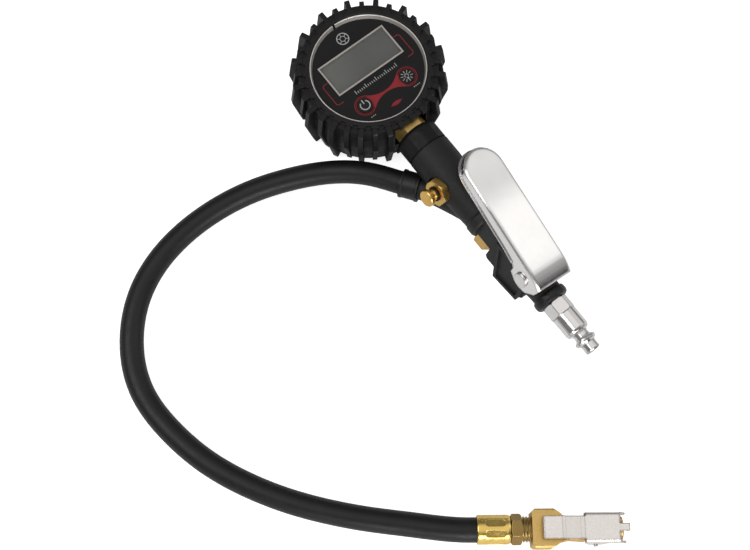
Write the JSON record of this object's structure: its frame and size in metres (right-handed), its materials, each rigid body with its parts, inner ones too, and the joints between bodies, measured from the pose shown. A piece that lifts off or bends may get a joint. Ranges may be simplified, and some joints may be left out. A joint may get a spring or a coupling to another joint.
{
  "type": "tyre inflator with gauge",
  "caption": "Hand-held tyre inflator: round digital gauge in a lugged rubber boot, squeeze lever, push-to-bleed valve, quick-connect air plug and a hose with a clip-on chuck.",
  "frame": {"origin": "centre of the rubber boot's flat back face, which lies on the bench", "axes": "+Z is the gauge face's normal, -Y runs down the handle towards the inlet plug, +X is the gauge's three o'clock"},
  "size_m": [0.2767, 0.3565, 0.0675],
  "materials": {
    "boot_rubber": "matte",
    "case_plastic": "matte",
    "steel_screw": "satin",
    "face_film": "satin",
    "bezel_metal": "satin",
    "lcd_frame_grey": "satin",
    "clear_window": "clear",
    "lcd_cell": "satin",
    "board_green": "satin",
    "button_black": "satin",
    "switch_black": "matte",
    "brass": "machined",
    "cell_jacket": "satin",
    "nickel_strip": "satin",
    "grip_black": "matte",
    "housing_black": "matte",
    "spring_steel": "satin",
    "seal_rubber": "matte",
    "chrome": "polished",
    "plated_sheet": "satin",
    "hose_rubber": "matte",
    "filter_bronze": "matte"
  },
  "bodies": {
    "inflator": {"gauge_boot": "boot_rubber", "gauge_case": "case_plastic", "case_screws": "steel_screw", "face_plate": "face_film", "bezel_ring": "bezel_metal", "lcd_frame": "lcd_frame_grey", "lcd_window": "clear_window", "lcd_module": "lcd_cell", "circuit_board": "board_green", "unit_switch": "switch_black", "light_switch": "switch_black", "gauge_stem": "brass", "pressure_sensor": "steel_screw", "batteries": "cell_jacket", "battery_contacts": "nickel_strip", "battery_door": "case_plastic", "neck_collar": "grip_black", "handle_body": "grip_black", "valve_housing": "housing_black", "valve_plug": "brass", "valve_spring": "spring_steel", "valve_seal": "seal_rubber", "inlet_ring": "grip_black", "inlet_plug": "chrome", "inlet_filter": "filter_bronze", "bleed_valve_body": "brass", "bleed_spring": "spring_steel", "bleed_seal": "seal_rubber", "lever_pin": "chrome", "hose": "hose_rubber", "hose_collar": "grip_black", "hose_barb": "brass", "hose_ferrule": "brass", "hose_tail": "brass", "chuck_body": "brass", "chuck_seal": "seal_rubber", "chuck_valve_pin": "brass", "clip_pin": "steel_screw", "clip_spring": "spring_steel"},
    "lever": {"trigger_lever": "chrome"},
    "inflate_valve": {"valve_stem": "brass"},
    "bleed_push": {"bleed_button": "brass"},
    "unit_key": {"unit_button": "button_black"},
    "light_key": {"light_button": "button_black"},
    "tyre_clip": {"chuck_clip": "plated_sheet"}
  },
  "joints": [
    {"name": "lever_squeeze", "type": "hinge", "parent": "inflator", "child": "lever", "pos_m": [0.00294, -0.1573, 0.04008], "axis": [-0.9397, 0, 0.342], "range_deg": [0, 10], "stiffness_Nm_per_rad": 0.6, "springref_deg": -5.73},
    {"name": "inflate_valve_slide", "type": "slide", "parent": "inflator", "child": "inflate_valve", "axis": [-0.342, 0, -0.9397], "range_m": [0, 0.0071], "stiffness_N_per_m": 300, "springref_m": -0.002},
    {"name": "bleed_press", "type": "slide", "parent": "inflator", "child": "bleed_push", "axis": [0.9397, 0, -0.342], "range_m": [0, 0.002], "stiffness_N_per_m": 600, "springref_m": -0.001},
    {"name": "unit_press", "type": "slide", "parent": "inflator", "child": "unit_key", "axis": [0, 0, -1], "range_m": [0, 0.0004], "stiffness_N_per_m": 1500, "springref_m": -0.0003},
    {"name": "light_press", "type": "slide", "parent": "inflator", "child": "light_key", "axis": [0, 0, -1], "range_m": [0, 0.0004], "stiffness_N_per_m": 1500, "springref_m": -0.0003},
    {"name": "clip_release", "type": "hinge", "parent": "inflator", "child": "tyre_clip", "pos_m": [-0.05942, -0.29169, 0.004], "axis": [-0.5983, -0.8013, 0], "range_deg": [0, 6], "stiffness_Nm_per_rad": 0.3, "springref_deg": -5.73}
  ],
  "couplings": [
    {"joint": "inflate_valve_slide", "follows": "lever_squeeze", "m_per_rad": 0.0406}
  ]
}
